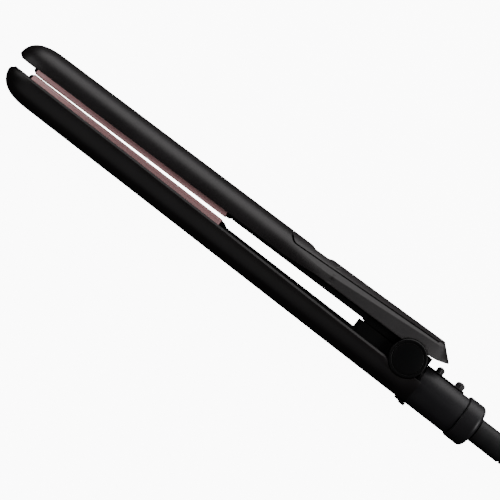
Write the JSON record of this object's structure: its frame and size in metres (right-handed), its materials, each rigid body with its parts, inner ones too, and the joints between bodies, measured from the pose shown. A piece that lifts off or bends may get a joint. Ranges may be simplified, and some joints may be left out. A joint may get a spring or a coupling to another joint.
{
  "type": "flat iron",
  "caption": "Slim hair straightening iron with hinged arms, floating coated plates, a ribbed lock slide, push buttons and a swivel cord folded in a tied hank.",
  "frame": {"origin": "centre of the lower hinge cap's outer flat face, which rests on the table", "axes": "+Z along the hinge axis, +X along the lower arm to the cord, +Y towards the upper arm"},
  "size_m": [0.4741, 0.0564, 0.0343],
  "materials": {
    "soft_touch_black": "soft-touch satin",
    "panel_black": "satin",
    "heatproof_black": "matt",
    "button_black": "satin",
    "rose_ceramic": "satin ceramic coating",
    "steel": "plain",
    "plug_brass": "nickel plated",
    "circuit_board": "solder mask",
    "heater_film": "film",
    "cord_rubber": "matt",
    "tie_fabric": "woven",
    "lead_silicone": "smooth"
  },
  "bodies": {
    "lower_arm": {"lower_shell": "soft_touch_black", "lower_liner": "heatproof_black", "lower_tip_insert": "heatproof_black", "lower_liner_screw_1": "steel", "lower_liner_screw_2": "steel", "lower_plate_spring_front": "steel", "lower_plate_spring_rear": "steel", "control_board": "circuit_board", "lower_heater_lead": "lead_silicone", "hinge_yoke": "heatproof_black", "hinge_pin": "steel", "hinge_cap_lower": "heatproof_black", "hinge_cap_upper": "heatproof_black", "arm_spring": "steel", "neck_tube": "soft_touch_black", "switch_plate": "heatproof_black", "switch_board": "circuit_board", "cord_collar": "soft_touch_black", "power_cord": "cord_rubber", "power_cord_tail": "cord_rubber", "cord_hank": "cord_rubber", "cord_tie": "tie_fabric", "plug_body": "cord_rubber", "plug_pin_left": "plug_brass", "plug_pin_right": "plug_brass"},
    "upper_arm": {"upper_shell": "soft_touch_black", "handle_panel": "panel_black", "upper_liner": "heatproof_black", "upper_tip_insert": "heatproof_black", "upper_liner_screw_1": "steel", "upper_liner_screw_2": "steel", "upper_plate_spring_front": "steel", "upper_plate_spring_rear": "steel", "upper_heater_lead": "lead_silicone", "hinge_knuckle": "heatproof_black"},
    "upper_plate_set": {"upper_plate": "rose_ceramic", "upper_heater": "heater_film", "upper_plate_holder": "heatproof_black"},
    "lower_plate_set": {"lower_plate": "rose_ceramic", "lower_heater": "heater_film", "lower_plate_holder": "heatproof_black"},
    "power_button": {"power_button": "button_black"},
    "temperature_button": {"temperature_button": "button_black"},
    "lock_slider": {"lock_slider": "heatproof_black"},
    "swivel": {"cable_swivel": "heatproof_black", "strain_relief": "cord_rubber"}
  },
  "joints": [
    {"name": "arm_hinge", "type": "hinge", "parent": "lower_arm", "child": "upper_arm", "pos_m": [0, 0, 0.015], "axis": [0, 0, -1], "range_deg": [0, 7]},
    {"name": "upper_plate_float", "type": "slide", "parent": "upper_arm", "child": "upper_plate_set", "axis": [-0.0131, 0.9999, 0], "range_m": [0, 0.0008], "stiffness_N_per_m": 3000, "deforming": ["upper_plate_spring_front", "upper_plate_spring_rear"]},
    {"name": "lower_plate_float", "type": "slide", "parent": "lower_arm", "child": "lower_plate_set", "axis": [0, -1, 0], "range_m": [0, 0.0008], "stiffness_N_per_m": 3000, "deforming": ["lower_plate_spring_front", "lower_plate_spring_rear"]},
    {"name": "power_button_press", "type": "slide", "parent": "lower_arm", "child": "power_button", "axis": [0, -1, 0], "range_m": [0, 0.0008], "stiffness_N_per_m": 800},
    {"name": "temperature_button_press", "type": "slide", "parent": "lower_arm", "child": "temperature_button", "axis": [0, -1, 0], "range_m": [0, 0.0008], "stiffness_N_per_m": 800},
    {"name": "lock_slide", "type": "slide", "parent": "lower_arm", "child": "lock_slider", "axis": [-1, 0, 0], "range_m": [0, 0.003]},
    {"name": "cable_turn", "type": "hinge", "parent": "lower_arm", "child": "swivel", "pos_m": [0.042, -0.0069, 0.015], "axis": [1, 0, 0], "continuous": true}
  ]
}
